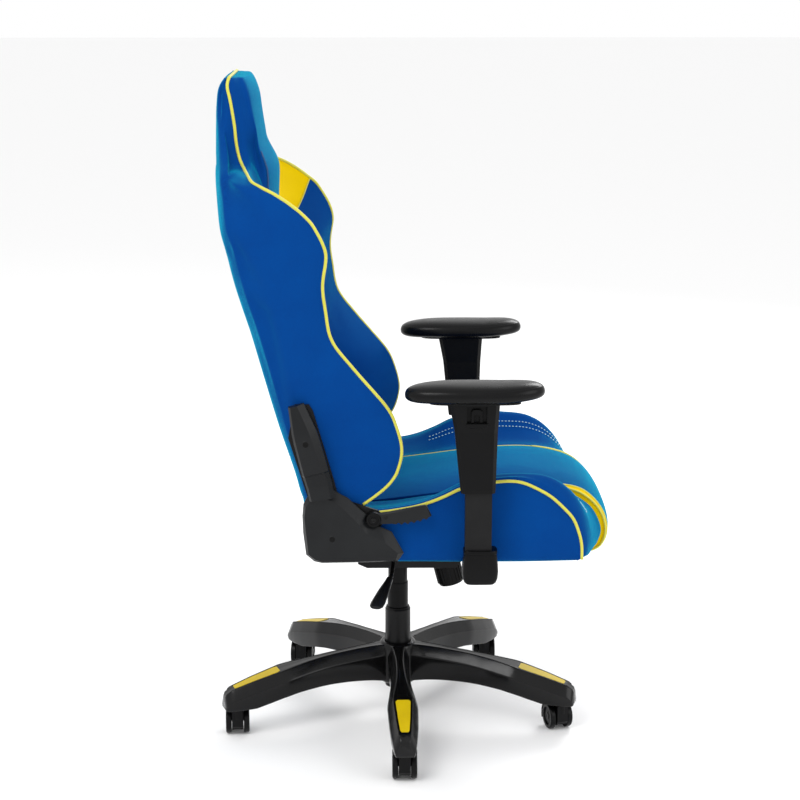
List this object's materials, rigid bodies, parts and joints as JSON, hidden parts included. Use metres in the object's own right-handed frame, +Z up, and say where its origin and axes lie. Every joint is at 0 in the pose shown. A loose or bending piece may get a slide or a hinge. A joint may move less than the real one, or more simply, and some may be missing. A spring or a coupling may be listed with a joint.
{
  "type": "gaming chair",
  "caption": "Reclining bucket-seat gaming chair with winged back, height-adjustable armrests, rocking tilt mechanism and gas lift on a star base with twin-wheel casters.",
  "frame": {"origin": "point on the floor under the axis of the gas column", "axes": "+X is the way the sitter faces, +Y is the sitter's left, +Z is up"},
  "size_m": [0.75, 0.7059, 1.2771],
  "materials": {
    "base_plastic": "glossy black",
    "insert_plastic": "satin yellow",
    "column_paint": "semi-gloss black",
    "sleeve_plastic": "satin black",
    "caster_plastic": "satin black",
    "wheel_plastic": "satin black",
    "steel": "bright",
    "black_steel": "powder coat",
    "knob_plastic": "satin black",
    "cover_plastic": "matte charcoal",
    "arm_plastic": "satin black",
    "pad_plastic": "soft touch black",
    "seat_fabric": "woven blue",
    "back_fabric": "woven blue with yellow",
    "plywood": "raw"
  },
  "bodies": {
    "base": {"base_star": "base_plastic", "leg_inserts": "insert_plastic", "gas_tube": "column_paint", "guide_bush": "sleeve_plastic", "lower_sleeve": "sleeve_plastic"},
    "caster_1": {"caster_yoke_1": "caster_plastic"},
    "wheel_1a": {"caster_wheel_1a": "wheel_plastic"},
    "wheel_1b": {"caster_wheel_1b": "wheel_plastic"},
    "caster_2": {"caster_yoke_2": "caster_plastic"},
    "wheel_2a": {"caster_wheel_2a": "wheel_plastic"},
    "wheel_2b": {"caster_wheel_2b": "wheel_plastic"},
    "caster_3": {"caster_yoke_3": "caster_plastic"},
    "wheel_3a": {"caster_wheel_3a": "wheel_plastic"},
    "wheel_3b": {"caster_wheel_3b": "wheel_plastic"},
    "caster_4": {"caster_yoke_4": "caster_plastic"},
    "wheel_4a": {"caster_wheel_4a": "wheel_plastic"},
    "wheel_4b": {"caster_wheel_4b": "wheel_plastic"},
    "caster_5": {"caster_yoke_5": "caster_plastic"},
    "wheel_5a": {"caster_wheel_5a": "wheel_plastic"},
    "wheel_5b": {"caster_wheel_5b": "wheel_plastic"},
    "gas_rod": {"gas_rod": "steel"},
    "upper_sleeve": {"upper_sleeve": "sleeve_plastic"},
    "lift": {"gas_cylinder": "column_paint", "tilt_housing": "black_steel", "tilt_shaft": "steel", "tension_bolt": "steel", "tension_spring": "steel"},
    "tension_knob": {"tension_knob": "knob_plastic"},
    "height_lever": {"height_lever": "black_steel", "height_grip": "cover_plastic"},
    "seat": {"seat_plate": "black_steel", "seat_frame": "black_steel", "seat_board": "plywood", "seat_cushion": "seat_fabric", "seat_bolsters": "seat_fabric", "arm_bracket_right": "black_steel", "arm_bracket_left": "black_steel", "arm_boot_right": "arm_plastic", "arm_boot_left": "arm_plastic", "hinge_plate_right": "black_steel", "hinge_plate_left": "black_steel", "pivot_pins": "steel", "hinge_cover_right": "cover_plastic", "hinge_cover_left": "cover_plastic", "seat_fasteners": "steel"},
    "arm_right": {"arm_sleeve_right": "arm_plastic", "arm_pad_right": "pad_plastic"},
    "arm_button_right": {"arm_button_right": "cover_plastic"},
    "arm_left": {"arm_sleeve_left": "arm_plastic", "arm_pad_left": "pad_plastic"},
    "arm_button_left": {"arm_button_left": "cover_plastic"},
    "recline_lever": {"recline_lever": "cover_plastic"},
    "back": {"back_frame": "black_steel", "back_cushion": "back_fabric", "back_bolsters": "back_fabric", "back_brackets": "black_steel", "recliner_cover_right": "cover_plastic", "recliner_cover_left": "cover_plastic", "back_fasteners": "steel", "sync_rod": "steel"}
  },
  "joints": [
    {"name": "caster_swivel_1", "type": "hinge", "parent": "base", "child": "caster_1", "pos_m": [0.0093, -0.33287, 0.06], "axis": [0, 0, 1], "continuous": true},
    {"name": "wheel_spin_1a", "type": "hinge", "parent": "caster_1", "child": "wheel_1a", "pos_m": [0.0093, -0.31487, 0.025], "axis": [1, 0, 0], "continuous": true},
    {"name": "wheel_spin_1b", "type": "hinge", "parent": "caster_1", "child": "wheel_1b", "pos_m": [0.0093, -0.31487, 0.025], "axis": [1, 0, 0], "continuous": true},
    {"name": "caster_swivel_2", "type": "hinge", "parent": "base", "child": "caster_2", "pos_m": [0.31945, -0.09402, 0.06], "axis": [0, 0, 1], "continuous": true},
    {"name": "wheel_spin_2a", "type": "hinge", "parent": "caster_2", "child": "wheel_2a", "pos_m": [0.31419, -0.07681, 0.025], "axis": [0.9563, 0.2924, 0], "continuous": true},
    {"name": "wheel_spin_2b", "type": "hinge", "parent": "caster_2", "child": "wheel_2b", "pos_m": [0.31419, -0.07681, 0.025], "axis": [0.9563, 0.2924, 0], "continuous": true},
    {"name": "caster_swivel_3", "type": "hinge", "parent": "base", "child": "caster_3", "pos_m": [0.18813, 0.27476, 0.06], "axis": [0, 0, 1], "continuous": true},
    {"name": "wheel_spin_3a", "type": "hinge", "parent": "caster_3", "child": "wheel_3a", "pos_m": [0.18813, 0.29276, 0.025], "axis": [1, 0, 0], "continuous": true},
    {"name": "wheel_spin_3b", "type": "hinge", "parent": "caster_3", "child": "wheel_3b", "pos_m": [0.18813, 0.29276, 0.025], "axis": [1, 0, 0], "continuous": true},
    {"name": "caster_swivel_4", "type": "hinge", "parent": "base", "child": "caster_4", "pos_m": [-0.20318, 0.26383, 0.06], "axis": [0, 0, 1], "continuous": true},
    {"name": "wheel_spin_4a", "type": "hinge", "parent": "caster_4", "child": "wheel_4a", "pos_m": [-0.2013, 0.28173, 0.025], "axis": [0.9945, -0.1045, 0], "continuous": true},
    {"name": "wheel_spin_4b", "type": "hinge", "parent": "caster_4", "child": "wheel_4b", "pos_m": [-0.2013, 0.28173, 0.025], "axis": [0.9945, -0.1045, 0], "continuous": true},
    {"name": "caster_swivel_5", "type": "hinge", "parent": "base", "child": "caster_5", "pos_m": [-0.31371, -0.1117, 0.06], "axis": [0, 0, 1], "continuous": true},
    {"name": "wheel_spin_5a", "type": "hinge", "parent": "caster_5", "child": "wheel_5a", "pos_m": [-0.31496, -0.09375, 0.025], "axis": [0.9976, 0.0698, 0], "continuous": true},
    {"name": "wheel_spin_5b", "type": "hinge", "parent": "caster_5", "child": "wheel_5b", "pos_m": [-0.31496, -0.09375, 0.025], "axis": [0.9976, 0.0698, 0], "continuous": true},
    {"name": "seat_swivel", "type": "hinge", "parent": "base", "child": "gas_rod", "pos_m": [0, 0, 0.1], "axis": [0, 0, 1], "continuous": true},
    {"name": "lift_slide", "type": "slide", "parent": "gas_rod", "child": "lift", "axis": [0, 0, 1], "range_m": [-0.08, 0]},
    {"name": "sleeve_slide", "type": "slide", "parent": "gas_rod", "child": "upper_sleeve", "axis": [0, 0, 1], "range_m": [-0.04, 0]},
    {"name": "tension_turn", "type": "hinge", "parent": "lift", "child": "tension_knob", "pos_m": [0.088, 0, 0.345], "axis": [-0.2588, 0, 0.9659], "range_deg": [-360, 360]},
    {"name": "height_lever_lift", "type": "hinge", "parent": "lift", "child": "height_lever", "pos_m": [-0.008, -0.05, 0.35], "axis": [0, 1, 0], "range_deg": [0, 12], "stiffness_Nm_per_rad": 0.4, "springref_deg": -22.92},
    {"name": "seat_rock", "type": "hinge", "parent": "lift", "child": "seat", "pos_m": [0.04, 0, 0.352], "axis": [0, -1, 0], "range_deg": [0, 10], "stiffness_Nm_per_rad": 160, "springref_deg": -25.78},
    {"name": "arm_slide_right", "type": "slide", "parent": "seat", "child": "arm_right", "axis": [0, 0, 1], "range_m": [-0.07, 0]},
    {"name": "arm_trigger_right", "type": "slide", "parent": "arm_right", "child": "arm_button_right", "axis": [0, 0, 1], "range_m": [0, 0.005], "stiffness_N_per_m": 300, "springref_m": -0.005},
    {"name": "arm_slide_left", "type": "slide", "parent": "seat", "child": "arm_left", "axis": [0, 0, 1], "range_m": [-0.07, 0]},
    {"name": "arm_trigger_left", "type": "slide", "parent": "arm_left", "child": "arm_button_left", "axis": [0, 0, 1], "range_m": [0, 0.005], "stiffness_N_per_m": 300, "springref_m": -0.005},
    {"name": "recline_lever_lift", "type": "hinge", "parent": "seat", "child": "recline_lever", "pos_m": [-0.047, -0.28, 0.489], "axis": [0, -1, 0], "range_deg": [0, 25], "stiffness_Nm_per_rad": 0.8, "springref_deg": -22.92},
    {"name": "recline", "type": "hinge", "parent": "seat", "child": "back", "pos_m": [-0.13, 0, 0.5], "axis": [0, -1, 0], "range_deg": [-5, 50]}
  ],
  "couplings": [
    {"joint": "sleeve_slide", "follows": "lift_slide", "ratio": 0.5}
  ]
}
